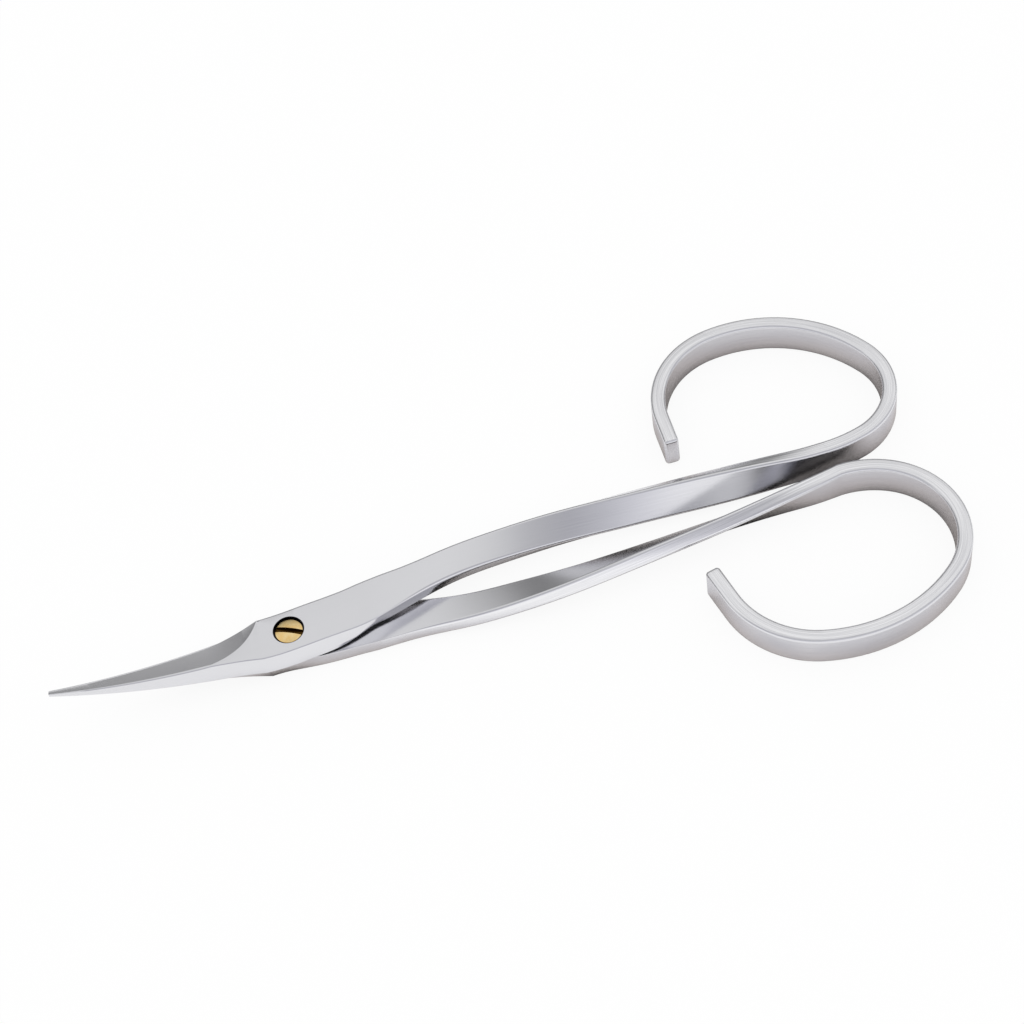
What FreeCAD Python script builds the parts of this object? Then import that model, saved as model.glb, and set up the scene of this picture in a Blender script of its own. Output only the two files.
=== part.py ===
import FreeCAD
import Part
import math
import os

# Cuticle scissors, 89 mm long, lying closed on a table. Two steel arms cross at a slotted screw.
# Each arm is one bar: a small blade that curves up, a flat boss round the screw, a shank that
# twists through a quarter turn, and a strip bent round into an open finger bow.
# Frame: the origin is where the screw's axis meets the table. +X runs back to the finger bows,
# so the tip points to -X, +Y is the upper arm's bow and +Z is up. All sizes are in millimetres.

# Boss and the fit between the two arms
BOSS_THICK = 1.80
RIDE_GAP = 0.10
RIDE_Z = BOSS_THICK
EDGE_ROUND = 0.25
SHANK_CLEAR_LENGTH = 13.0

# Blade
TIP_REACH = 23.3
TIP_HALF_WIDTH = 0.12
HEEL_REACH = 8.0
HEEL_HALF_WIDTH = 1.82
ROOT_REACH = 3.2
ROOT_HALF_WIDTH = 2.25
FLAT_RADIUS = 3.0
CURVE_RADIUS = 60.0
SPINE_LEAN = 0.30
EDGE_LAND = 0.12
BEVEL_SLOPE = 0.53
RUNOUT_REACH = 9.5
RUNOUT_RISE = 1.80
GRIND_HALF_WIDTH = 2 * HEEL_HALF_WIDTH
BLADE_STEPS = 9

# Finger bows: a strip on edge, bent through a run of arcs. Each arc has a radius, as a share of the
# bow's mean radius, and a turn in degrees
STRIP_HEIGHT = 2 * BOSS_THICK
STRIP_THICK = 1.5
BOW_START = 56.0
BOW_RADIUS = 10.0
BOW_BENDS = {
    "upper_arm": [(1.50, 15.0), (0.70, 102.0), (1.44, 69.0), (0.89, 82.0)],
    "lower_arm": [(0.94, 30.0), (0.82, 112.0), (1.56, 55.0), (0.94, 62.0)],
}
UPPER_BOW_OFFSET = 1.70
LOWER_BOW_OFFSET = 1.45
UPPER_BOW_TAIL = 3.5
LOWER_BOW_TAIL = 3.7
BOW_OFFSET = {"upper_arm": UPPER_BOW_OFFSET, "lower_arm": LOWER_BOW_OFFSET}
BOW_TAIL = {"upper_arm": UPPER_BOW_TAIL, "lower_arm": LOWER_BOW_TAIL}
TAIL_FLAT = 0.40
TAIL_ROUND = (STRIP_THICK - TAIL_FLAT) / 2

# Sections of the boss at the screw: distance behind the screw, then how much further than at the
# blade's root the wall on the crossing side and the wall on the arm's own side stand out, as
# shares of the half width there
BOSS_SECTIONS = [
    (-ROOT_REACH, 0.0, 0.0),
    (-ROOT_REACH / 2, 0.058, 0.013),
    (0.0, 0.076, 0.040),
]

# Sections of the neck, where the boss thins to the strip: share of the neck's length, offset to
# the arm's own side as a share of the shank's, height of the middle as a share of half the boss's
# thickness, width gained since the blade's root as a share of the half width there, share of the
# thinning done, twist in degrees, and how far the wall on the crossing side leans out towards the
# ride plane as a share of the boss's thickness
NECK_LENGTH = 13.5
SHANK_OFFSET = 3.2
NECK_SECTIONS = [
    (0.15, 0.01, 1.03, 0.170, 0.13, 0.0, 0.280),
    (0.30, 0.03, 1.06, 0.195, 0.33, 0.0, 0.245),
    (0.445, 0.095, 1.08, 0.150, 0.47, 0.0, 0.0),
    (0.58, 0.20, 1.09, 0.070, 0.60, 0.0, -0.390),
    (0.71, 0.30, 1.09, -0.045, 0.83, 1.0, -0.195),
    (0.845, 0.40, 1.08, -0.220, 1.00, 2.0, -0.055),
]

# Sections of the shank: share of the way from the neck to the bow, offset and height of the middle
# as above, width as a share of the bow strip's height, and twist in degrees
SHANK_SECTIONS = [
    (0.00, 0.53, 1.00, 1.006, 3.0),
    (0.08, 0.765, 0.69, 0.930, 7.0),
    (0.20, 0.94, 0.31, 0.903, 14.0),
    (0.34, 1.00, 0.06, 0.903, 28.0),
    (0.48, 0.92, 0.00, 0.917, 41.0),
    (0.62, 0.80, 0.00, 0.930, 50.0),
    (0.76, 0.67, 0.00, 0.950, 61.0),
    (0.87, 0.58, 0.00, 0.956, 75.0),
    (0.94, 0.53, 0.00, 0.978, 85.0),
]

# Pivot screw, and its running clearances in the two arms
HEAD_DIAMETER = 2.75
HEAD_HEIGHT = 0.60
HEAD_DOME = 0.18
HEAD_SINK = 0.05
HEAD_TOP = RIDE_Z + BOSS_THICK - HEAD_SINK
HEAD_SEAT = HEAD_TOP - HEAD_HEIGHT
HEAD_CLEAR = 0.15
SEAT_CLEAR = 0.04
SHOULDER_DIAMETER = 2.2
SHOULDER_CLEAR = 0.04
THREAD_DIAMETER = 1.7
THREAD_CLEAR = 0.04
END_SINK = 0.10
SLOT_WIDTH = 0.45
SLOT_DEPTH = 0.40
SLOT_ANGLE = -27.0

# Cutting tools are this wide and deep, and the blade's surfaces run past its tip by the overrun
TALL = 30.0
OVERRUN = 1.0
UP = FreeCAD.Vector(0, 0, 1)
CENTRE = FreeCAD.Vector(0, 0, 0)
SIDE = {"upper_arm": 1, "lower_arm": -1}


def vec(x, y, z):
    return FreeCAD.Vector(x, y, z)


def rise(reach):
    """Height of the curved ride face above the ride plane, at a distance from the screw's axis."""
    run = max(reach - FLAT_RADIUS, 0.0)
    return CURVE_RADIUS - math.sqrt(CURVE_RADIUS**2 - run**2)


def half_width(reach):
    """Half the blade's width at the ride face: a straight taper to the tip, flared into the boss."""
    straight = (TIP_REACH - reach) / (TIP_REACH - HEEL_REACH)
    flare = max(HEEL_REACH - reach, 0.0) / (HEEL_REACH - ROOT_REACH)
    at_heel = HEEL_HALF_WIDTH - TIP_HALF_WIDTH
    at_root = at_heel * (TIP_REACH - ROOT_REACH) / (TIP_REACH - HEEL_REACH)
    return TIP_HALF_WIDTH + at_heel * straight + (ROOT_HALF_WIDTH - TIP_HALF_WIDTH - at_root) * flare**2


def blade_reaches():
    """Distances from the screw at which the lines of a blade are laid out, past both its ends."""
    first = TIP_REACH + OVERRUN
    last = ROOT_REACH - EDGE_ROUND
    return [first + (last - first) * step / (BLADE_STEPS - 1) for step in range(BLADE_STEPS)]


def smooth_curve(points):
    curve = Part.BSplineCurve()
    curve.interpolate(points)
    return curve.toShape()


def dish_profile_edges(height, end):
    """The ride face in section: flat round the screw, then an arc that curves up to the tip."""
    middle = (FLAT_RADIUS + end) / 2
    start = vec(0, 0, height)
    bend = vec(FLAT_RADIUS, 0, height)
    crest = vec(middle, 0, height + rise(middle))
    finish = vec(end, 0, height + rise(end))
    return Part.LineSegment(start, bend).toShape(), Part.Arc(bend, crest, finish).toShape()


def curved_plate(side):
    """A dish that is turned about the screw's axis, so that the blades slide past each other."""
    end = TIP_REACH + OVERRUN
    inner = RIDE_Z + side * RIDE_GAP / 2
    outer = RIDE_Z + side * BOSS_THICK
    near_line, near_arc = dish_profile_edges(inner, end)
    far_line, far_arc = dish_profile_edges(outer, end)
    middle = Part.LineSegment(vec(0, 0, inner), vec(0, 0, outer)).toShape()
    rim = Part.LineSegment(vec(end, 0, inner + rise(end)), vec(end, 0, outer + rise(end))).toShape()
    wire = Part.Wire(Part.__sortEdges__([near_line, near_arc, rim, far_arc, far_line, middle]))
    return Part.Face(wire).revolve(CENTRE, UP, 360)


def wall_tool(side, hand, lean):
    """What lies outside one side wall of the blade, which leans in away from the ride face."""
    depth = 2 * BOSS_THICK
    lines = []
    for level in (-1, 1):
        points = []
        for reach in blade_reaches():
            y = half_width(reach) - lean * (level * depth - BOSS_THICK / 2)
            points.append(vec(-reach, side * hand * y, RIDE_Z + rise(reach) + side * level * depth))
        lines.append(smooth_curve(points))
    face = Part.makeRuledSurface(lines[0], lines[1])
    return face.extrude(vec(0, side * hand * TALL, 0))


def bevel_curve(side, edge):
    """One side line of the ground bevel, well outside the blade."""
    reach_y = edge * GRIND_HALF_WIDTH
    points = []
    for reach in blade_reaches():
        depth = EDGE_LAND + BEVEL_SLOPE * (half_width(reach) - reach_y)
        if edge > 0:
            share = max(RUNOUT_REACH - reach, 0.0) / (RUNOUT_REACH - ROOT_REACH)
            depth += RUNOUT_RISE * share**2
        points.append(vec(-reach, side * reach_y, RIDE_Z + rise(reach) + side * depth))
    return smooth_curve(points)


def bevel_tool(side):
    """What the grinding wheel takes off the outer face, running out into the boss."""
    face = Part.makeRuledSurface(bevel_curve(side, -1), bevel_curve(side, 1))
    return face.extrude(vec(0, 0, side * TALL))


def make_blade(side):
    """Blade of one arm: spine wall on the crossing side, ground bevel down to the cutting edge."""
    corner = vec(-TIP_REACH, -GRIND_HALF_WIDTH, -TALL / 2)
    block = Part.makeBox(TIP_REACH - ROOT_REACH, 2 * GRIND_HALF_WIDTH, TALL, corner)
    blade = curved_plate(side).common(block)
    blade = blade.cut(wall_tool(side, -1, SPINE_LEAN)).cut(wall_tool(side, 1, 0.0))
    return blade.cut(bevel_tool(side))


def rounded_loop(corners, radius):
    """A closed wire through corner points, with each corner rounded."""
    arcs = []
    count = len(corners)
    for index, corner in enumerate(corners):
        back = (corners[index - 1] - corner).normalize()
        on = (corners[(index + 1) % count] - corner).normalize()
        half = back.getAngle(on) / 2
        inward = (back + on).normalize()
        knee = corner + inward * (radius / math.sin(half) - radius)
        run = radius / math.tan(half)
        arcs.append(Part.Arc(corner + back * run, knee, corner + on * run).toShape())
    edges = []
    for here, after in zip(arcs, arcs[1:] + arcs[:1]):
        edges.append(here)
        edges.append(Part.LineSegment(here.Vertexes[-1].Point, after.Vertexes[0].Point).toShape())
    return Part.Wire(edges)


def placed_section(side, x, offset, height, width, thick, twist, lean=0.0):
    """One section of an arm across X, turned by its twist and moved to its place."""
    y = side * width / 2
    z = side * thick / 2
    shift = side * lean / 2
    corners = [vec(0, y, z), vec(0, shift - y, z), vec(0, -shift - y, -z), vec(0, y, -z)]
    wire = rounded_loop(corners, EDGE_ROUND)
    wire.rotate(CENTRE, vec(1, 0, 0), side * twist)
    wire.translate(vec(x, side * offset, RIDE_Z + side * height))
    return wire


def boss_section(side, x, crossing_swell, own_swell):
    """A section of the boss, its ride face left deep enough to be faced off flat and sharp."""
    thick = BOSS_THICK + EDGE_ROUND
    crossing = ROOT_HALF_WIDTH * (1 + crossing_swell) + SPINE_LEAN * EDGE_ROUND / 2
    own = ROOT_HALF_WIDTH * (1 + own_swell)
    height = (BOSS_THICK - EDGE_ROUND) / 2
    return placed_section(
        side, x, (own - crossing) / 2, height, own + crossing, thick, 0.0, SPINE_LEAN * thick
    )


def neck_section(side, share, offset, lift, swell, thinning, twist, lean):
    """A section of the neck, between the flat boss and the strip."""
    width = ROOT_HALF_WIDTH * (2 + swell)
    thick = BOSS_THICK + (STRIP_THICK - BOSS_THICK) * thinning
    height = lift * BOSS_THICK / 2
    return placed_section(
        side, share * NECK_LENGTH, offset * SHANK_OFFSET, height, width, thick, twist, lean * BOSS_THICK
    )


def shank_section(side, share, offset, lift, width_share, twist):
    """A section of the shank, whose strip turns on edge on its way to the bow."""
    x = NECK_LENGTH + share * (BOW_START - NECK_LENGTH)
    height = lift * BOSS_THICK / 2
    width = width_share * STRIP_HEIGHT
    return placed_section(side, x, offset * SHANK_OFFSET, height, width, STRIP_THICK, twist)


def bow_start_section(name):
    """The strip on edge, where the shank ends and the bow begins."""
    return placed_section(
        SIDE[name], BOW_START, BOW_OFFSET[name], 0.0, STRIP_HEIGHT, STRIP_THICK, 90.0
    )


def make_shank(name):
    """Boss, neck and shank in one sweep through the sections, up to the start of the bow."""
    side = SIDE[name]
    wires = [boss_section(side, *row) for row in BOSS_SECTIONS]
    wires += [neck_section(side, *row) for row in NECK_SECTIONS]
    wires += [shank_section(side, *row) for row in SHANK_SECTIONS]
    return Part.makeLoft(wires + [bow_start_section(name)], True, False)


def bow_path(name):
    """The strip's middle line in plan: the bends in turn, then a straight tail."""
    side = SIDE[name]
    place = vec(BOW_START, side * BOW_OFFSET[name], RIDE_Z)
    heading = 0.0
    edges = []
    for radius_share, turn in BOW_BENDS[name]:
        radius = radius_share * BOW_RADIUS
        centre = place + vec(-math.sin(heading), math.cos(heading), 0) * side * radius
        angle = side * math.radians(turn)
        spots = []
        for share in (0.5, 1.0):
            end = heading + share * angle
            spots.append(centre + vec(math.sin(end), -math.cos(end), 0) * side * radius)
        edges.append(Part.Arc(place, spots[0], spots[1]).toShape())
        place = spots[1]
        heading += angle
    tail = place + vec(math.cos(heading), math.sin(heading), 0) * BOW_TAIL[name]
    edges.append(Part.LineSegment(place, tail).toShape())
    return Part.Wire(edges), tail, heading


def make_bow(name):
    """The finger bow, with the corners of its free end rounded off in plan."""
    path, tail, heading = bow_path(name)
    bow = path.makePipeShell([bow_start_section(name)], True, True)
    along = vec(math.cos(heading), math.sin(heading), 0)
    across = vec(-along.y, along.x, 0)
    half = STRIP_THICK / 2
    for hand in (1, -1):
        corner = tail + across * (hand * half)
        before = corner - along * TAIL_ROUND
        beside = corner - across * (hand * TAIL_ROUND)
        bulge = corner - (along + across * hand) * (TAIL_ROUND * (1 - math.sqrt(0.5)))
        outside = [
            Part.Arc(before, bulge, beside).toShape(),
            Part.LineSegment(beside, corner).toShape(),
            Part.LineSegment(corner, before).toShape(),
        ]
        chip = Part.Face(Part.Wire(outside)).extrude(vec(0, 0, TALL))
        chip.translate(vec(0, 0, -TALL / 2))
        bow = bow.cut(chip)
    return bow


def ride_clearance(side):
    """What is faced off behind the screw, so that the two arms never touch."""
    reach = SHANK_CLEAR_LENGTH + ROOT_REACH
    corner = vec(-ROOT_REACH - EDGE_ROUND, -reach, RIDE_Z + side * RIDE_GAP / 2)
    block = Part.makeBox(reach, 2 * reach, TALL, corner)
    if side > 0:
        block.translate(vec(0, 0, -TALL))
    return block


def cylinder(diameter, bottom, top):
    return Part.makeCylinder(diameter / 2, top - bottom, vec(0, 0, bottom), UP)


def make_arm(name):
    """One whole arm, bored for the screw: a sunk seat above, a tapped hole below."""
    side = SIDE[name]
    arm = make_shank(name).cut(ride_clearance(side))
    arm = arm.fuse([make_blade(side), make_bow(name)])
    if side > 0:
        arm = arm.cut(cylinder(HEAD_DIAMETER + 2 * HEAD_CLEAR, HEAD_SEAT - SEAT_CLEAR, TALL))
        arm = arm.cut(cylinder(SHOULDER_DIAMETER + 2 * SHOULDER_CLEAR, -TALL, TALL))
    else:
        arm = arm.cut(cylinder(THREAD_DIAMETER + 2 * THREAD_CLEAR, -TALL, TALL))
    return arm.removeSplitter()


def make_screw():
    """Slotted screw: domed head in the recess, shoulder in the upper arm, thread in the lower."""
    head = cylinder(HEAD_DIAMETER, HEAD_SEAT, HEAD_TOP)
    ball_radius = ((HEAD_DIAMETER / 2) ** 2 + HEAD_DOME**2) / (2 * HEAD_DOME)
    head = head.common(Part.makeSphere(ball_radius, vec(0, 0, HEAD_TOP - ball_radius)))
    slot = Part.makeBox(HEAD_DIAMETER, SLOT_WIDTH, TALL)
    slot.translate(vec(-HEAD_DIAMETER / 2, -SLOT_WIDTH / 2, HEAD_TOP - SLOT_DEPTH))
    slot.rotate(CENTRE, UP, SLOT_ANGLE)
    shoulder_end = RIDE_Z - RIDE_GAP / 2 + SEAT_CLEAR
    shoulder = cylinder(SHOULDER_DIAMETER, shoulder_end, HEAD_SEAT)
    thread = cylinder(THREAD_DIAMETER, END_SINK, shoulder_end)
    return head.cut(slot).fuse([shoulder, thread]).removeSplitter()


def main():
    os.makedirs("parts", exist_ok=True)
    shapes = {name: make_arm(name) for name in SIDE}
    shapes["pivot_screw"] = make_screw()
    for name, shape in shapes.items():
        box = shape.BoundBox
        print(name, shape.isValid(), len(shape.Solids), round(shape.Volume, 2), box)
        shape.exportStep("parts/" + name + ".step")


main()
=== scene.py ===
import bmesh
import bpy
import math
import numpy as np
from mathutils import Matrix, Vector


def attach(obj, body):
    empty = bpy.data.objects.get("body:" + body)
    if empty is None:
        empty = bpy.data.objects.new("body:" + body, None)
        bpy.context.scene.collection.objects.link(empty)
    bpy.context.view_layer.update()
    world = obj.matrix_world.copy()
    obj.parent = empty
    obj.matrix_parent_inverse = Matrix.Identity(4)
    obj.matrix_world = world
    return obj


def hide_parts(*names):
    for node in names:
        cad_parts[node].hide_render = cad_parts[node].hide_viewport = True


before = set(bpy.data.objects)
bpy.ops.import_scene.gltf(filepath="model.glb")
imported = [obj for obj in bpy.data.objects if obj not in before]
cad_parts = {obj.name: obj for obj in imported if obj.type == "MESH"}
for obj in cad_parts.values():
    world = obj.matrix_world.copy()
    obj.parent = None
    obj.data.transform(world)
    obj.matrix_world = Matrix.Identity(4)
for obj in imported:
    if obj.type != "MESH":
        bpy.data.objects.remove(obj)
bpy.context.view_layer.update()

# The photograph's view
# The closed pair lies on a white table, seen from its near side and a little over half way up,
# with the tips to the left. The lens is long and the camera is rolled a little.
MM = 0.001
VIEW_AZIMUTH = math.radians(-7.687)
VIEW_ELEVATION = math.radians(53.156)
VIEW_ROLL = math.radians(-11.209)
VIEW_DISTANCE = 208.258 * MM
VIEW_TARGET = Vector((24.484, 6.814, 1.8)) * MM
LENS_MM = 73.217
SENSOR_MM = 36.0
NEAREST = 10.0 * MM

back = Vector((
    math.sin(VIEW_AZIMUTH) * math.cos(VIEW_ELEVATION),
    -math.cos(VIEW_AZIMUTH) * math.cos(VIEW_ELEVATION),
    math.sin(VIEW_ELEVATION),
))
level = Vector((math.cos(VIEW_AZIMUTH), math.sin(VIEW_AZIMUTH), 0.0))
upright = back.cross(level)
right = level * math.cos(VIEW_ROLL) + upright * math.sin(VIEW_ROLL)
above = upright * math.cos(VIEW_ROLL) - level * math.sin(VIEW_ROLL)
camera = bpy.data.objects.new("camera", bpy.data.cameras.new("camera"))
bpy.context.scene.collection.objects.link(camera)
camera.data.lens = LENS_MM
camera.data.sensor_width = SENSOR_MM
camera.data.clip_start = NEAREST
turn = Matrix((right, above, back)).transposed().to_4x4()
camera.matrix_world = Matrix.Translation(VIEW_TARGET + back * VIEW_DISTANCE) @ turn
bpy.context.scene.camera = camera

# Lower arm
# One bar of stainless steel, forged to a small blade that curves up, a flat boss round the screw,
# and a strip that twists on edge and is bent into an open finger bow. It carries the tapped hole.
RIDE_PLANE = 1.80
RIDE_GAP = 0.10
BOSS_THICK = 1.80
STRIP_HEIGHT = 3.60
STRIP_THICK = 1.50
ROOT_REACH = 3.2
ROOT_HALF_WIDTH = 2.25
ROOT_SKEW = 0.5
NEAR_SWELL = 0.35
NEAR_SWELL_END = 6.0
NEAR_SWELL_FADE = 2.5
SPINE_LEAN = 0.30

TIP_REACH = 23.3
TIP_HALF_WIDTH = 0.12
HEEL_REACH = 8.0
HEEL_HALF_WIDTH = 1.82
FLAT_RADIUS = 3.0
CURVE_RADIUS = 60.0
EDGE_LAND = 0.12
BEVEL_SLOPE = 0.53
RUNOUT_REACH = 8.8
RUNOUT_RISE = 2.08
GRIND_HALF_WIDTH = 2 * HEEL_HALF_WIDTH
BLADE_STEPS = 60
BLADE_SPACING = 1.5
RIDGE_WIDTH = 0.24
TIP_RIDGE_WIDTH = 0.08

# Sections behind the blade: distance behind the screw, offset to the arm's own side, height of the
# middle above the ride plane, width, thickness, twist in degrees, how far the crossing wall leans
# out towards the ride plane, where the line along the outer face lies across it, where the crease
# lies down the crossing wall, and how far the crease stands out
ARM_SECTIONS = [
    (-3.2, 0.00, 0.925, 4.50, 1.75, 0.0, 0.53, 0.03, 0.50, 0.00),
    (-1.6, -0.05, 0.925, 4.66, 1.75, 0.0, 0.53, 0.25, 0.50, 0.00),
    (0.0, -0.04, 0.925, 4.76, 1.75, 0.0, 0.53, 0.45, 0.50, 0.00),
    (2.0, 0.03, 0.93, 4.88, 1.76, 0.0, 0.50, 0.50, 0.64, 0.00),
    (4.0, 0.10, 0.95, 4.94, 1.70, 0.0, 0.44, 0.50, 0.80, 0.00),
    (5.0, 0.18, 0.96, 4.91, 1.68, 0.0, 0.27, 0.50, 0.76, 0.13),
    (6.0, 0.30, 0.97, 4.84, 1.66, 0.0, 0.02, 0.50, 0.66, 0.30),
    (7.0, 0.48, 0.98, 4.76, 1.64, 0.0, -0.25, 0.50, 0.46, 0.31),
    (7.9, 0.66, 0.98, 4.65, 1.62, 0.0, -0.42, 0.50, 0.30, 0.22),
    (8.8, 0.82, 0.98, 4.52, 1.58, 0.5, -0.38, 0.50, 0.26, 0.08),
    (9.6, 0.96, 0.98, 4.40, 1.55, 1.0, -0.28, 0.50, 0.36, 0.00),
    (11.4, 1.28, 0.97, 4.00, 1.50, 2.0, -0.10, 0.50, 0.50, 0.00),
    (13.5, 1.70, 0.90, 3.62, 1.50, 3.0, 0.0, 0.50, 0.50, 0.00),
    (16.9, 2.45, 0.62, 3.35, 1.50, 7.0, 0.0, 0.50, 0.50, 0.00),
    (22.0, 3.01, 0.28, 3.25, 1.50, 14.0, 0.0, 0.50, 0.50, 0.00),
    (27.95, 3.20, 0.05, 3.25, 1.50, 28.0, 0.0, 0.50, 0.50, 0.00),
    (33.9, 2.94, 0.00, 3.30, 1.50, 41.0, 0.0, 0.50, 0.50, 0.00),
    (39.85, 2.56, 0.00, 3.35, 1.50, 50.0, 0.0, 0.50, 0.50, 0.00),
    (45.8, 2.14, 0.00, 3.42, 1.50, 61.0, 0.0, 0.50, 0.50, 0.00),
    (50.5, 1.86, 0.00, 3.44, 1.50, 75.0, 0.0, 0.50, 0.50, 0.00),
    (53.5, 1.70, 0.00, 3.52, 1.50, 85.0, 0.0, 0.50, 0.50, 0.00),
]
BOW_START = 56.0
SWELL_END = 11.0
SECTION_STEP = 0.4
BEND_STEP = math.radians(3.0)
TAIL_STEPS = 4
TAIL_ROUND = 0.36
TAIL_ROUND_STEPS = 6
TAIL_END_SHARE = 0.6
UPRIGHT_RISE = 1.0

# Fine chamfer along the outer edge of the crossing wall, from near the tip to the neck
CHAMFER = 0.07
CHAMFER_BEGIN = -20.3
CHAMFER_END = 8.7

# Round of the long edges: on the strip, on the outer edges of the boss, and on the ground edges
EDGE_ROUND = 0.32
EDGE_STEPS = 5
CREASE_SHARE = 0.20
CREASE_BEGIN = 4.2
CREASE_END = 9.2
GROUND_EDGE_SHARE = 0.12
RIDGE_SHARE = 0.10
GROUND_END = 11.0
STRIP_BEGIN = 14.0
REAL_EDGE = math.radians(50)
SMOOTH_UNDER = math.radians(30)

# Where the wall on the arm's own side, which becomes the bow's rim, lies on the brush map
OWN_WALL_PLACE = 20.0

# Corners of a section, in order round it
OWN_OUTER, FACE_LINE, NEAR_OUTER, CREASE, NEAR_RIDE, OWN_RIDE = range(6)
CORNERS = 6


def natural_curve(places, values):
    """A smooth curve through a few values, for reading at any place between them."""
    x = np.array(places)
    y = np.array(values)
    gap = np.diff(x)
    slope = np.diff(y) / gap
    matrix = np.eye(len(x))
    ends = np.zeros(len(x))
    for i in range(1, len(x) - 1):
        matrix[i, i - 1:i + 2] = gap[i - 1], 2 * (gap[i - 1] + gap[i]), gap[i]
        ends[i] = 6 * (slope[i] - slope[i - 1])
    bend = np.linalg.solve(matrix, ends)

    def read(at):
        i = int(np.clip(np.searchsorted(x, at) - 1, 0, len(gap) - 1))
        left = x[i + 1] - at
        right_part = at - x[i]
        cubic = (bend[i] * left ** 3 + bend[i + 1] * right_part ** 3) / (6 * gap[i])
        start = (y[i] / gap[i] - bend[i] * gap[i] / 6) * left
        finish = (y[i + 1] / gap[i] - bend[i + 1] * gap[i] / 6) * right_part
        return float(cubic + start + finish)

    return read


def root_place(x, y):
    """The boss ends a little further back on the arm's own side than on its crossing side."""
    near = max(1 - abs(x + ROOT_REACH) / ROOT_REACH, 0.0)
    return x + ROOT_SKEW * near * (1 + y / ROOT_HALF_WIDTH) / 2


def section_corners(side, own_swell, x, offset, height, width, thick, twist, lean, line, crease, bulge):
    """Corners of one section across X, in metres."""
    behind_root = (x + ROOT_REACH) / (SWELL_END + ROOT_REACH)
    own = width / 2 + own_swell * math.sin(math.pi * min(max(behind_root, 0.0), 1.0)) ** 2
    outer = min(thick / 2, BOSS_THICK - height)
    fading = min((x + ROOT_REACH) / (NEAR_SWELL_END + ROOT_REACH), 1.0)
    near = width / 2 + NEAR_SWELL * math.cos(fading * math.pi / 2) ** 2
    near_outer = lean / 2 - near
    near_ride = -lean / 2 - near
    flat = [
        (own, outer),
        (own + (near_outer - own) * line, outer),
        (near_outer, outer),
        (near_outer + (near_ride - near_outer) * crease - bulge, outer - thick * crease),
        (near_ride, -thick / 2),
        (own, -thick / 2),
    ]
    cos = math.cos(math.radians(twist))
    sin = math.sin(math.radians(twist))
    corners = []
    for y, z in flat:
        across = side * (offset + y * cos) - z * sin
        high = side * (height + z * cos) + y * sin
        corners.append(Vector((root_place(x, y), across, RIDE_PLANE + high)) * MM)
    return corners


def arm_rings(side, own_swell, bow_offset, bends, tail):
    """Boss, neck and shank, then the bow's bends and its straight tail: run so far and corners."""
    on_edge = (BOW_START, bow_offset, 0.0, STRIP_HEIGHT, STRIP_THICK, 90.0, 0.0, 0.5, 0.5, 0.0)
    rows = ARM_SECTIONS + [on_edge]
    places = [row[0] for row in rows]
    curves = [natural_curve(places, column) for column in list(zip(*rows))[1:]]
    steps = round((BOW_START - places[0]) / SECTION_STEP)
    for step in range(steps + 1):
        x = places[0] + (BOW_START - places[0]) * step / steps
        yield x, section_corners(side, own_swell, x, *(curve(x) for curve in curves))
    start = section_corners(side, own_swell, *on_edge)
    centre_line = Vector((BOW_START, side * bow_offset, 0.0)) * MM
    frame_now = Matrix.Translation(centre_line)
    local = [corner - centre_line for corner in start]
    run = BOW_START
    for radius, degrees in bends:
        angle = math.radians(degrees)
        count = max(2, round(angle / BEND_STEP))
        centre = Vector((0.0, side * radius, 0.0)) * MM
        for step in range(1, count + 1):
            share = angle * step / count
            bend = (
                Matrix.Translation(centre)
                @ Matrix.Rotation(side * share, 4, "Z")
                @ Matrix.Translation(-centre)
            )
            yield run + radius * share, [frame_now @ bend @ corner for corner in local]
        frame_now = frame_now @ bend
        run += radius * angle
    for step in range(1, TAIL_STEPS + 1):
        length = tail * step / TAIL_STEPS
        onward = frame_now @ Matrix.Translation(Vector((length * MM, 0.0, 0.0)))
        yield run + length, [onward @ corner for corner in local]


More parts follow.
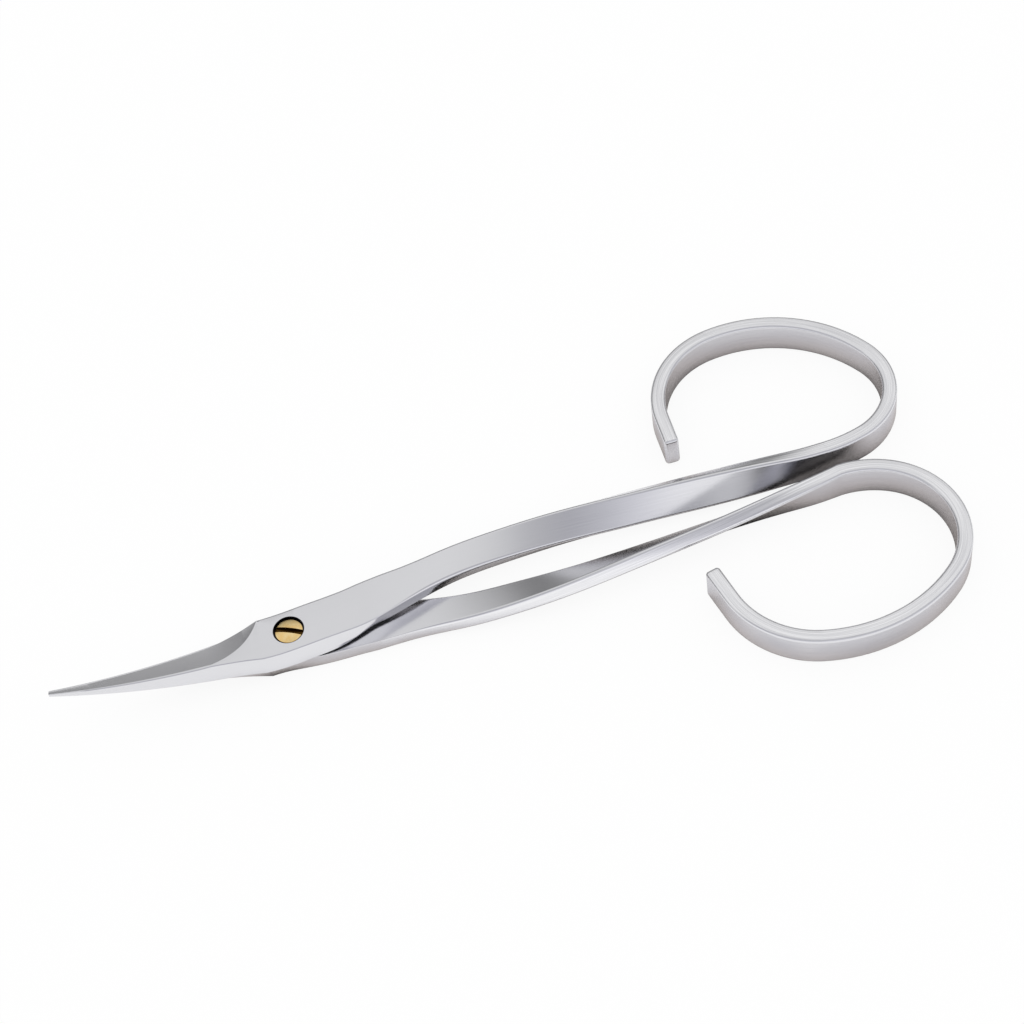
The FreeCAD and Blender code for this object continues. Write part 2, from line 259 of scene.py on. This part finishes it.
def blade_rings(side):
    """The ground blade, from its root to its tip: run so far and corners."""
    for step in range(1, BLADE_STEPS + 1):
        reach = ROOT_REACH + (TIP_REACH - ROOT_REACH) * (step / BLADE_STEPS) ** BLADE_SPACING
        straight = (TIP_REACH - reach) / (TIP_REACH - HEEL_REACH)
        flare = max(HEEL_REACH - reach, 0.0) / (HEEL_REACH - ROOT_REACH)
        at_heel = HEEL_HALF_WIDTH - TIP_HALF_WIDTH
        root_taper = at_heel * (TIP_REACH - ROOT_REACH) / (TIP_REACH - HEEL_REACH)
        half = TIP_HALF_WIDTH + at_heel * straight
        half += (ROOT_HALF_WIDTH - TIP_HALF_WIDTH - root_taper) * flare ** 2

        # The grinding wheel's depth is a straight line across the blade
        runout = RUNOUT_RISE * (max(RUNOUT_REACH - reach, 0.0) / (RUNOUT_REACH - ROOT_REACH)) ** 2
        fall = runout / (2 * GRIND_HALF_WIDTH) - BEVEL_SLOPE
        middle = EDGE_LAND + BEVEL_SLOPE * half + runout / 2
        foot = half + SPINE_LEAN * BOSS_THICK / 2 + NEAR_SWELL * flare ** NEAR_SWELL_FADE
        spine = (middle - fall * foot) / (1 - fall * SPINE_LEAN)
        spine = min(spine, BOSS_THICK)
        near_outer = SPINE_LEAN * spine - foot

        # A narrow strip of the bar's flat face is left along the back of the blade
        strip = TIP_RIDGE_WIDTH + (RIDGE_WIDTH - TIP_RIDGE_WIDTH) * min(straight, 1.0)
        ridge = max((BOSS_THICK - middle) / fall, near_outer + strip)
        ridge = min(ridge, half - TIP_RIDGE_WIDTH)
        spine = min(middle + fall * ridge, BOSS_THICK)
        near_outer = SPINE_LEAN * spine - foot
        ride = RIDE_GAP / 2
        flat = [
            (half, min(middle + fall * half, BOSS_THICK)),
            (ridge, spine),
            (near_outer, spine),
            (SPINE_LEAN * (spine + ride) / 2 - foot, (spine + ride) / 2),
            (SPINE_LEAN * ride - foot, ride),
            (half, ride),
        ]
        corners = []
        for y, depth in flat:
            run_out = max(math.hypot(reach, y) - FLAT_RADIUS, 0.0)
            rise = CURVE_RADIUS - math.sqrt(CURVE_RADIUS ** 2 - run_out ** 2)
            x = root_place(-reach, y)
            corners.append(Vector((x, side * y, RIDE_PLANE + rise + side * depth)) * MM)
        yield -reach, corners


def select_only(piece):
    bpy.ops.object.select_all(action="DESELECT")
    piece.select_set(True)
    bpy.context.view_layer.objects.active = piece


def set_section(shell, face, run, corners):
    """Sets a face's corners, and keeps the run along the arm and the girth round it on each."""
    for vert in face.verts:
        number = vert[shell.verts.layers.int["corner"]]
        vert.co = corners[number]
        vert[shell.verts.layers.float["run"]] = run
        sides = zip(corners[:number], corners[1:number + 1])
        vert[shell.verts.layers.float["girth"]] = sum((b - a).length for a, b in sides) / MM


def draw_out(piece, rings):
    """Draws the selected end face out from section to section."""
    for run, corners in rings:
        bpy.ops.mesh.extrude_region_move()
        shell = bmesh.from_edit_mesh(piece.data)
        set_section(shell, next(face for face in shell.faces if face.select), run, corners)
        bmesh.update_edit_mesh(piece.data)


def lay_brush_map(shell):
    """A map in millimetres, along the arm and round its section, which the brushing follows."""
    run = shell.verts.layers.float["run"]
    girth = shell.verts.layers.float["girth"]
    corner = shell.verts.layers.int["corner"]
    layer = shell.loops.layers.uv.new("brush")
    for face in shell.faces:
        own_wall = all(vert[corner] in (OWN_OUTER, OWN_RIDE) for vert in face.verts)
        for loop in face.loops:
            across = loop.vert[girth]
            if own_wall:
                across = OWN_WALL_PLACE + (STRIP_THICK if loop.vert[corner] == OWN_OUTER else 0.0)
            loop[layer].uv = (loop.vert[run], across)


def weigh_edges(shell):
    """How far each long edge is rounded, as a share of the strip's round."""
    run = shell.verts.layers.float["run"]
    corner = shell.verts.layers.int["corner"]
    weight = shell.edges.layers.float.new("bevel_weight_edge")
    for edge in shell.edges:
        first, second = edge.verts
        along = (first[run] + second[run]) / 2
        if not edge.is_manifold:
            continue
        if along > STRIP_BEGIN:
            edge[weight] = 1.0 if edge.calc_face_angle() > REAL_EDGE else 0.0
            continue
        if first[corner] != second[corner]:
            continue
        number = first[corner]
        if number == NEAR_OUTER and along > CHAMFER_BEGIN:
            edge[weight] = max((along - CHAMFER_END) / (STRIP_BEGIN - CHAMFER_END), 0.0)
            continue
        if number == CREASE:
            edge[weight] = CREASE_SHARE if CREASE_BEGIN < along < CREASE_END else 0.0
        elif along < -ROOT_REACH:
            edge[weight] = RIDGE_SHARE
        elif number == FACE_LINE:
            continue
        elif number == OWN_OUTER:
            edge[weight] = 1.0
        else:
            share = min(max((along - GROUND_END) / (STRIP_BEGIN - GROUND_END), 0.0), 1.0)
            edge[weight] = GROUND_EDGE_SHARE + (1.0 - GROUND_EDGE_SHARE) * share


def add_modifier(piece, kind, **settings):
    """Adds a modifier with its settings and applies it."""
    select_only(piece)
    modifier = piece.modifiers.new(kind.lower(), kind)
    for name, value in settings.items():
        setattr(modifier, name, value)
    bpy.ops.object.modifier_apply(modifier=modifier.name)


def bore(piece, radius, bottom, top):
    """Cuts a round hole on the screw's axis."""
    bpy.ops.object.select_all(action="DESELECT")
    bpy.ops.mesh.primitive_cylinder_add(
        vertices=BORE_SIDES, radius=radius * MM, depth=(top - bottom) * MM,
        location=(0, 0, (bottom + top) / 2 * MM)
    )
    drill = bpy.context.object
    add_modifier(piece, "BOOLEAN", object=drill, operation="DIFFERENCE", solver="EXACT")
    bpy.data.objects.remove(drill)


def bevel_edges(piece, picked, width, steps):
    """Bevels the edges of a piece that a rule picks."""
    bpy.ops.mesh.select_all(action="DESELECT")
    shell = bmesh.from_edit_mesh(piece.data)
    for edge in shell.edges:
        if picked(shell, edge):
            edge.select_set(True)
    bmesh.update_edit_mesh(piece.data)
    bpy.ops.mesh.bevel(offset=width * MM, segments=steps, affect="EDGES", clamp_overlap=False)


def on_near_edge(shell, edge):
    """The outer edge of the crossing wall, as far as its fine chamfer runs."""
    run = shell.verts.layers.float["run"]
    corner = shell.verts.layers.int["corner"]
    along = (edge.verts[0][run] + edge.verts[1][run]) / 2
    in_reach = CHAMFER_BEGIN < along < CHAMFER_END
    return in_reach and all(vert[corner] == NEAR_OUTER for vert in edge.verts)


def forge_arm(name, side, own_swell, bow_offset, bends, tail):
    """One arm: a six-cornered bar drawn out both ways from the blade's root, then rounded."""
    rings = list(arm_rings(side, own_swell, bow_offset, bends, tail))
    bpy.ops.object.select_all(action="DESELECT")
    bpy.ops.mesh.primitive_circle_add(vertices=CORNERS, radius=ROOT_HALF_WIDTH * MM, fill_type="NGON")
    arm = bpy.context.object
    arm.name = name
    arm.data.name = name
    bpy.ops.object.mode_set(mode="EDIT")
    shell = bmesh.from_edit_mesh(arm.data)
    shell.verts.layers.float.new("run")
    shell.verts.layers.float.new("girth")
    corner = shell.verts.layers.int.new("corner")
    shell.faces.ensure_lookup_table()
    for number, vert in enumerate(shell.faces[0].verts):
        vert[corner] = number
    set_section(shell, shell.faces[0], *rings[0])
    bmesh.update_edit_mesh(arm.data)
    draw_out(arm, rings[1:])

    shell = bmesh.from_edit_mesh(arm.data)
    nose = next(face for face in shell.faces if face.select)
    run = shell.verts.layers.float["run"]
    root = next(
        face for face in shell.faces
        if all(vert[run] < SECTION_STEP / 2 - ROOT_REACH for vert in face.verts)
    )
    tail_end = nose.calc_center_median().copy()
    nose.select_set(False)
    root.select_set(True)
    bmesh.update_edit_mesh(arm.data)
    draw_out(arm, blade_rings(side))

    def at_tail_end(_, edge):
        first, second = edge.verts
        reach = ((first.co + second.co) / 2 - tail_end).xy.length
        stands = abs(first.co.z - second.co.z) > UPRIGHT_RISE * MM
        in_reach = reach < STRIP_THICK * TAIL_END_SHARE * MM
        return stands and in_reach and edge.calc_face_angle() > REAL_EDGE

    bpy.ops.mesh.select_all(action="SELECT")
    bpy.ops.mesh.normals_make_consistent(inside=False)
    lay_brush_map(bmesh.from_edit_mesh(arm.data))
    bmesh.update_edit_mesh(arm.data)
    bevel_edges(arm, at_tail_end, TAIL_ROUND, TAIL_ROUND_STEPS)
    bevel_edges(arm, on_near_edge, CHAMFER, 1)
    weigh_edges(bmesh.from_edit_mesh(arm.data))
    bmesh.update_edit_mesh(arm.data)
    bpy.ops.object.mode_set(mode="OBJECT")
    add_modifier(
        arm, "BEVEL", limit_method="WEIGHT", width=EDGE_ROUND * MM, segments=EDGE_STEPS,
        use_clamp_overlap=False
    )
    return arm


def smooth_metal(piece):
    """Shades the rounds smooth and keeps the flats flat."""
    select_only(piece)
    bpy.ops.object.shade_smooth_by_angle(angle=SMOOTH_UNDER)
    add_modifier(piece, "WEIGHTED_NORMAL", keep_sharp=True)


def linear(colour):
    """An sRGB hex colour as the linear values that a shader takes."""
    channels = [int(colour[i:i + 2], 16) / 255 for i in (1, 3, 5)]
    return [c / 12.92 if c <= 0.04045 else ((c + 0.055) / 1.055) ** 2.4 for c in channels] + [1.0]


def add_node(tree, kind, inputs=None, **settings):
    """Adds a node with its settings. An input that is a socket is linked, any other is set."""
    node = tree.nodes.new(kind)
    for name, value in settings.items():
        setattr(node, name, value)
    for name, value in (inputs or {}).items():
        if isinstance(value, bpy.types.NodeSocket):
            tree.links.new(value, node.inputs[name])
        else:
            node.inputs[name].default_value = value
    return node


def new_material(name):
    material = bpy.data.materials.new(name)
    material.use_nodes = True
    material.node_tree.nodes.clear()
    return material, material.node_tree


# Satin stainless steel, ground and then brushed along the bar: grey, with streaks that break up
# what it mirrors. Real streaks are a few hundredths of a millimetre wide and are drawn coarser.
STEEL_PALE = "#FBFBFD"
STEEL_DARK = "#C7C7CC"
STEEL_SMOOTH = 0.13
STEEL_ROUGH = 0.24
WORN_SHARE = 0.05
STREAK_WIDTH = 0.13
STREAK_LENGTH = 9.0
STREAK_DEPTH = 0.0030
STREAK_DETAIL = 3.0
STREAK_BREAK = 0.6
STREAK_LOW = 0.3
STREAK_HIGH = 0.7
CLOUD_SIZE = 7.0
CLOUD_DETAIL = 2.0
TONE_MIDDLE = 0.5

# The streaks are weak on the blade and the boss, stronger towards the bow, and strongest and palest
# on the bow's rim, which is told by its place across the brush map
FINE_END = 12.0
COARSE_BEGIN = 50.0
FINE_SHARE = 0.20
RIM_BEGIN = 15.0
RIM_FULL = 16.0
WALL_SHARE = 0.35
RIM_SHARE = 1.6
RIM_TONE = 0.72

# Painted shade darkens the steel round the screw, in the recess and the bore
RECESS_PAINTED_SHADE = "#3A3632"
PAINTED_SHADE_RADIUS = 1.53
PAINTED_SHADE_EDGE = 0.03

steel, tree = new_material("satin_stainless_steel")
brush_map = add_node(tree, "ShaderNodeUVMap", uv_map="brush")
streak_scale = add_node(
    tree, "ShaderNodeMapping",
    {"Vector": brush_map.outputs["UV"], "Scale": (1 / STREAK_LENGTH, 1 / STREAK_WIDTH, 1.0)}
)
streaks = add_node(
    tree, "ShaderNodeTexNoise",
    {
        "Vector": streak_scale.outputs["Vector"], "Scale": 1.0,
        "Detail": STREAK_DETAIL, "Roughness": STREAK_BREAK,
    },
    noise_dimensions="2D"
)
place = add_node(tree, "ShaderNodeTexCoord")
clouds = add_node(
    tree, "ShaderNodeTexNoise",
    {"Vector": place.outputs["Object"], "Scale": 1 / (CLOUD_SIZE * MM), "Detail": CLOUD_DETAIL}
)
brush_parts = add_node(tree, "ShaderNodeSeparateXYZ", {"Vector": brush_map.outputs["UV"]})
contrast = add_node(
    tree, "ShaderNodeMapRange",
    {
        "Value": brush_parts.outputs["X"], "From Min": FINE_END, "From Max": COARSE_BEGIN,
        "To Min": FINE_SHARE, "To Max": 1.0,
    }
)
rim_contrast = add_node(
    tree, "ShaderNodeMapRange",
    {
        "Value": brush_parts.outputs["Y"], "From Min": RIM_BEGIN, "From Max": RIM_FULL,
        "To Min": WALL_SHARE, "To Max": RIM_SHARE,
    }
)
rim_tone = add_node(
    tree, "ShaderNodeMapRange",
    {
        "Value": brush_parts.outputs["Y"], "From Min": RIM_BEGIN, "From Max": RIM_FULL,
        "To Min": TONE_MIDDLE, "To Max": RIM_TONE,
    }
)
contrast = add_node(
    tree, "ShaderNodeMath",
    {0: contrast.outputs["Result"], 1: rim_contrast.outputs["Result"]}, operation="MULTIPLY"
)
uneven = add_node(
    tree, "ShaderNodeMath", {0: streaks.outputs["Fac"], 1: TONE_MIDDLE}, operation="SUBTRACT"
)
uneven = add_node(
    tree, "ShaderNodeMath",
    {0: uneven.outputs["Value"], 1: contrast.outputs["Value"], 2: rim_tone.outputs["Result"]},
    operation="MULTIPLY_ADD"
)
tone = add_node(
    tree, "ShaderNodeMix",
    {"Factor": uneven.outputs["Value"], "A": linear(STEEL_DARK), "B": linear(STEEL_PALE)},
    data_type="RGBA"
)
flat_place = add_node(
    tree, "ShaderNodeVectorMath",
    {0: place.outputs["Object"], 1: (1.0, 1.0, 0.0)}, operation="MULTIPLY"
)
from_screw = add_node(
    tree, "ShaderNodeVectorMath", {0: flat_place.outputs["Vector"]}, operation="LENGTH"
)
# Painted shade: the steel within a little of the screw's axis is darkened
recess_painted_shade = add_node(
    tree, "ShaderNodeMapRange",
    {
        "Value": from_screw.outputs["Value"], "From Min": PAINTED_SHADE_RADIUS * MM,
        "From Max": (PAINTED_SHADE_RADIUS + PAINTED_SHADE_EDGE) * MM, "To Min": 1.0, "To Max": 0.0,
    }
)
tone = add_node(
    tree, "ShaderNodeMix",
    {"Factor": recess_painted_shade.outputs["Result"], "A": tone.outputs[2], "B": linear(RECESS_PAINTED_SHADE)},
    data_type="RGBA"
)
gloss = add_node(
    tree, "ShaderNodeMapRange",
    {
        "Value": uneven.outputs["Value"], "From Min": STREAK_LOW, "From Max": STREAK_HIGH,
        "To Min": STEEL_SMOOTH, "To Max": STEEL_ROUGH,
    }
)
worn = add_node(
    tree, "ShaderNodeMath",
    {0: clouds.outputs["Fac"], 1: WORN_SHARE, 2: gloss.outputs["Result"]},
    operation="MULTIPLY_ADD"
)
grooves = add_node(
    tree, "ShaderNodeBump",
    {"Height": uneven.outputs["Value"], "Distance": STREAK_DEPTH * MM, "Strength": 1.0}
)
steel_shader = add_node(
    tree, "ShaderNodeBsdfPrincipled",
    {
        "Base Color": tone.outputs[2], "Metallic": 1.0,
        "Roughness": worn.outputs["Value"], "Normal": grooves.outputs["Normal"],
    }
)
add_node(tree, "ShaderNodeOutputMaterial", {"Surface": steel_shader.outputs["BSDF"]})

LOWER_BENDS = [(9.4, 30.0), (8.2, 112.0), (15.6, 55.0), (9.4, 62.0)]
LOWER_BOW_OFFSET = 1.45
LOWER_TAIL = 3.7
LOWER_SWELL = 0.35
TAPPED_RADIUS = 0.89
DRILL_TOP = 6.0
BORE_SIDES = 96

lower_arm = forge_arm("lower_arm_steel", -1, LOWER_SWELL, LOWER_BOW_OFFSET, LOWER_BENDS, LOWER_TAIL)
bore(lower_arm, TAPPED_RADIUS, -DRILL_TOP, DRILL_TOP)
smooth_metal(lower_arm)
lower_arm.data.materials.append(steel)
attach(lower_arm, "lower_arm")
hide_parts("lower_arm")

# Upper arm
# The same steel bar turned over, with its bow bent a little rounder. Its outer face is left flat
# and is sunk round the screw, so that the head lies just below the surface.
UPPER_BENDS = [(15.0, 15.0), (7.0, 102.0), (14.4, 69.0), (8.9, 82.0)]
UPPER_BOW_OFFSET = 1.70
UPPER_TAIL = 3.5
SEAT_RADIUS = 1.525
SEAT_HEIGHT = 2.91
SHANK_HOLE_RADIUS = 1.14

upper_arm = forge_arm("upper_arm_steel", 1, 0.0, UPPER_BOW_OFFSET, UPPER_BENDS, UPPER_TAIL)
bore(upper_arm, SEAT_RADIUS, SEAT_HEIGHT, DRILL_TOP)
bore(upper_arm, SHANK_HOLE_RADIUS, -DRILL_TOP, DRILL_TOP)
smooth_metal(upper_arm)
upper_arm.data.materials.append(steel)
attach(upper_arm, "upper_arm")
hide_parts("upper_arm")

# Pivot screw
# A turned brass screw with a low domed head and a driver slot. Its shoulder is the pivot of the
# upper arm, and its threaded end is held in the lower arm.
HEAD_RADIUS = 1.375
HEAD_SEAT = 2.95
HEAD_TOP = 3.55
HEAD_DOME = 0.18
HEAD_BREAK = 0.04
DOME_STEPS = 10
SHOULDER_RADIUS = 1.10
SHOULDER_END = 1.79
THREAD_RADIUS = 0.85
THREAD_END = 0.10
END_CHAMFER = 0.12
SLOT_WIDTH = 0.56
SLOT_DEPTH = 0.40
SLOT_CUTTER_LENGTH = 3 * HEAD_RADIUS
SLOT_TURN = math.radians(-27.0)
SCREW_SIDES = 96

dome_radius = (HEAD_RADIUS ** 2 + HEAD_DOME ** 2) / (2 * HEAD_DOME)
rim = HEAD_TOP - HEAD_DOME
turned = [
    (THREAD_RADIUS, THREAD_END + END_CHAMFER),
    (THREAD_RADIUS, SHOULDER_END),
    (SHOULDER_RADIUS, SHOULDER_END),
    (SHOULDER_RADIUS, HEAD_SEAT),
    (HEAD_RADIUS - HEAD_BREAK, HEAD_SEAT),
    (HEAD_RADIUS, HEAD_SEAT + HEAD_BREAK),
    (HEAD_RADIUS, rim - HEAD_BREAK),
]
for step in range(DOME_STEPS):
    radius = (HEAD_RADIUS - HEAD_BREAK) * (1 - step / DOME_STEPS)
    height = HEAD_TOP - dome_radius + math.sqrt(dome_radius ** 2 - radius ** 2)
    turned.append((radius, height))

bpy.ops.object.select_all(action="DESELECT")
now = THREAD_RADIUS - END_CHAMFER
bpy.ops.mesh.primitive_circle_add(
    vertices=SCREW_SIDES, radius=now * MM, fill_type="NGON", location=(0, 0, THREAD_END * MM)
)
screw = bpy.context.object
screw.name = "pivot_screw_brass"
bpy.ops.object.transform_apply(location=True)
bpy.ops.object.mode_set(mode="EDIT")
level_now = THREAD_END
for radius, height in turned:
    bpy.ops.mesh.extrude_region_move(TRANSFORM_OT_translate={"value": (0, 0, (height - level_now) * MM)})
    bpy.ops.transform.resize(
        value=(radius / now, radius / now, 1.0), center_override=(0, 0, height * MM)
    )
    now = radius
    level_now = height
bpy.ops.mesh.select_all(action="SELECT")
bpy.ops.mesh.normals_make_consistent(inside=False)
bpy.ops.object.mode_set(mode="OBJECT")
bpy.ops.object.select_all(action="DESELECT")
bpy.ops.mesh.primitive_cube_add(
    size=1.0, location=(0, 0, HEAD_TOP * MM), rotation=(0, 0, SLOT_TURN),
    scale=(SLOT_CUTTER_LENGTH * MM, SLOT_WIDTH * MM, 2 * SLOT_DEPTH * MM)
)
slot_cutter = bpy.context.object
add_modifier(screw, "BOOLEAN", object=slot_cutter, operation="DIFFERENCE", solver="EXACT")
bpy.data.objects.remove(slot_cutter)
smooth_metal(screw)

# Turned and polished brass: warm yellow, with fine rings from the lathe. Clouds of tarnish make it
# uneven in tone and gloss. The slot and the parts sunk in the recess are darkened with painted
# shade. A wave texture's rings lie WAVE_PERIOD apart at a scale of one.
BRASS_PALE = "#FFF2C4"
BRASS_DARK = "#EDB755"
BRASS_PAINTED_SHADE = "#4A3514"
BRASS_SMOOTH = 0.16
BRASS_ROUGH = 0.30
SUNK_SHADE_STEP = 0.05
TARNISH_SIZE = 0.7
TARNISH_DETAIL = 4.0
WAVE_PERIOD = 0.314
RING_SPACING = 0.12
RING_WOBBLE = 1.5
RING_DETAIL = 2.0
LATHE_DEPTH = 0.003

brass, tree = new_material("polished_brass")
place = add_node(tree, "ShaderNodeTexCoord")
rings_node = add_node(
    tree, "ShaderNodeTexWave",
    {
        "Vector": place.outputs["Object"], "Scale": WAVE_PERIOD / (RING_SPACING * MM),
        "Distortion": RING_WOBBLE, "Detail": RING_DETAIL,
    },
    wave_type="RINGS", rings_direction="Z"
)
stain = add_node(
    tree, "ShaderNodeTexNoise",
    {"Vector": place.outputs["Object"], "Scale": 1 / (TARNISH_SIZE * MM), "Detail": TARNISH_DETAIL}
)
brass_tone = add_node(
    tree, "ShaderNodeMix",
    {"Factor": stain.outputs["Fac"], "A": linear(BRASS_DARK), "B": linear(BRASS_PALE)},
    data_type="RGBA"
)
dome_centre = add_node(
    tree, "ShaderNodeVectorMath",
    {0: place.outputs["Object"], 1: (0.0, 0.0, (HEAD_TOP - dome_radius) * MM)}, operation="DISTANCE"
)
# Painted shade: whatever lies more than a little below the dome, in the slot and down in the recess, is
# darkened
sunk_painted_shade = add_node(
    tree, "ShaderNodeMapRange",
    {
        "Value": dome_centre.outputs["Value"], "From Min": (dome_radius - 2 * SUNK_SHADE_STEP) * MM,
        "From Max": (dome_radius - SUNK_SHADE_STEP) * MM, "To Min": 1.0, "To Max": 0.0,
    }
)
brass_tone = add_node(
    tree, "ShaderNodeMix",
    {"Factor": sunk_painted_shade.outputs["Result"], "A": brass_tone.outputs[2], "B": linear(BRASS_PAINTED_SHADE)},
    data_type="RGBA"
)
brass_gloss = add_node(
    tree, "ShaderNodeMapRange",
    {"Value": stain.outputs["Fac"], "To Min": BRASS_SMOOTH, "To Max": BRASS_ROUGH}
)
lathe = add_node(
    tree, "ShaderNodeBump",
    {"Height": rings_node.outputs["Fac"], "Distance": LATHE_DEPTH * MM, "Strength": 1.0}
)
brass_shader = add_node(
    tree, "ShaderNodeBsdfPrincipled",
    {
        "Base Color": brass_tone.outputs[2], "Metallic": 1.0,
        "Roughness": brass_gloss.outputs["Result"], "Normal": lathe.outputs["Normal"],
    }
)
add_node(tree, "ShaderNodeOutputMaterial", {"Surface": brass_shader.outputs["BSDF"]})
screw.data.materials.append(brass)
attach(screw, "pivot_screw")
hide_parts("pivot_screw")

# Studio
# A white table under a soft white tent, both plain white to the camera. What metal mirrors is
# graded, for light and dark faces: the tent is bright low in front and high behind, grey overhead
# and dark low behind, and the table glows with painted shade, darker close round the part and towards
# the back.
WHITE = "#FFFFFF"
TABLE_WHITE = "#FAFAFA"
TABLE_SIZE = 6.0
TABLE_DROP = 0.01
TABLE_SEEN = 0.90
# Painted shade in the table's glow as metal mirrors it: darker close round the part, and towards the
# back
CONTACT_REACH = 7.0
CONTACT_SAMPLES = 8
PAINTED_CONTACT_SHADE = [
    (0.41, "#060606"), (0.49, "#A09A97"), (0.56, "#D8D0CC"),
    (0.70, "#D2CFD0"), (0.78, "#CACAD0"), (0.88, "#FFFFFF"),
]
FAR_BEGIN = 8.0
FAR_END = 60.0
FAR_PAINTED_SHADE = 0.31

# The tent's colours by degrees up from the front, over the top and down to the back
TENT_SPAN = 180.0
TENT = [
    (0.0, "#FFFFFF"), (25.0, "#FDFDFF"), (36.0, "#E2E2E8"), (46.0, "#CCCCD2"), (62.0, "#B6B6BC"),
    (74.0, "#BDBDC1"), (86.0, "#C6C6C9"), (104.0, "#E6E6E6"), (116.0, "#EEEEEE"), (126.0, "#EAEAEA"),
    (136.0, "#DCDCDC"), (145.0, "#BEBEBE"), (155.0, "#8A8A8A"), (165.0, "#828282"), (180.0, "#A8A8A8"),
]


def set_stops(ramp, stops):
    """Sets a colour ramp's stops, each a place and a colour."""
    elements = ramp.color_ramp.elements
    elements.remove(elements[1])
    elements[0].position = stops[0][0]
    elements[0].color = linear(stops[0][1])
    for position, colour in stops[1:]:
        elements.new(position).color = linear(colour)


bpy.ops.object.select_all(action="DESELECT")
bpy.ops.mesh.primitive_plane_add(size=TABLE_SIZE, location=(0, 0, -TABLE_DROP * MM))
table = bpy.context.object
table.name = "table"
white, tree = new_material("white_table")
path = add_node(tree, "ShaderNodeLightPath")
# Painted shade: as metal mirrors it, the table glows darker close round the part, by ambient occlusion,
# and towards the back
contact = add_node(
    tree, "ShaderNodeAmbientOcclusion", {"Distance": CONTACT_REACH * MM}, samples=CONTACT_SAMPLES
)
contact_painted_shade = add_node(tree, "ShaderNodeValToRGB", {"Fac": contact.outputs["AO"]})
set_stops(contact_painted_shade, PAINTED_CONTACT_SHADE)
place = add_node(tree, "ShaderNodeTexCoord")
parts = add_node(tree, "ShaderNodeSeparateXYZ", {"Vector": place.outputs["Object"]})
far_painted_shade = add_node(
    tree, "ShaderNodeMapRange",
    {
        "Value": parts.outputs["Y"], "From Min": FAR_BEGIN * MM, "From Max": FAR_END * MM,
        "To Min": 1.0, "To Max": FAR_PAINTED_SHADE,
    },
    interpolation_type="SMOOTHSTEP"
)
mirrored = add_node(
    tree, "ShaderNodeEmission",
    {"Color": contact_painted_shade.outputs["Color"], "Strength": far_painted_shade.outputs["Result"]}
)
paper = add_node(tree, "ShaderNodeBsdfDiffuse", {"Color": linear(TABLE_WHITE)})
glow = add_node(tree, "ShaderNodeEmission", {"Color": linear(WHITE), "Strength": 1.0})
seen = add_node(
    tree, "ShaderNodeMath",
    {0: path.outputs["Is Camera Ray"], 1: path.outputs["Is Transmission Ray"]}, operation="MAXIMUM"
)
seen = add_node(
    tree, "ShaderNodeMath", {0: seen.outputs["Value"], 1: TABLE_SEEN}, operation="MULTIPLY"
)
shown = add_node(
    tree, "ShaderNodeMixShader",
    {0: seen.outputs["Value"], 1: paper.outputs["BSDF"], 2: glow.outputs["Emission"]}
)
table_shader = add_node(
    tree, "ShaderNodeMixShader",
    {0: path.outputs["Is Glossy Ray"], 1: shown.outputs["Shader"], 2: mirrored.outputs["Emission"]}
)
add_node(tree, "ShaderNodeOutputMaterial", {"Surface": table_shader.outputs["Shader"]})
table.data.materials.append(white)

world = bpy.data.worlds.new("tent")
world.use_nodes = True
bpy.context.scene.world = world
tree = world.node_tree
tree.nodes.clear()
way = add_node(tree, "ShaderNodeTexCoord")
parts = add_node(tree, "ShaderNodeSeparateXYZ", {"Vector": way.outputs["Generated"]})
nearer = add_node(tree, "ShaderNodeMath", {0: parts.outputs["Y"], 1: -1.0}, operation="MULTIPLY")
angle = add_node(
    tree, "ShaderNodeMath", {0: parts.outputs["Z"], 1: nearer.outputs["Value"]}, operation="ARCTAN2"
)
angle = add_node(tree, "ShaderNodeMath", {0: angle.outputs["Value"], 1: math.pi}, operation="DIVIDE")
tent = add_node(tree, "ShaderNodeValToRGB", {"Fac": angle.outputs["Value"]})
set_stops(tent, [(degrees / TENT_SPAN, colour) for degrees, colour in TENT])
path = add_node(tree, "ShaderNodeLightPath")
shown = add_node(
    tree, "ShaderNodeMix",
    {"Factor": path.outputs["Is Glossy Ray"], "A": linear(WHITE), "B": tent.outputs["Color"]},
    data_type="RGBA"
)
sky = add_node(tree, "ShaderNodeBackground", {"Color": shown.outputs[2], "Strength": 1.0})
add_node(tree, "ShaderNodeOutputWorld", {"Surface": sky.outputs["Background"]})
bpy.context.scene.view_settings.view_transform = "Standard"
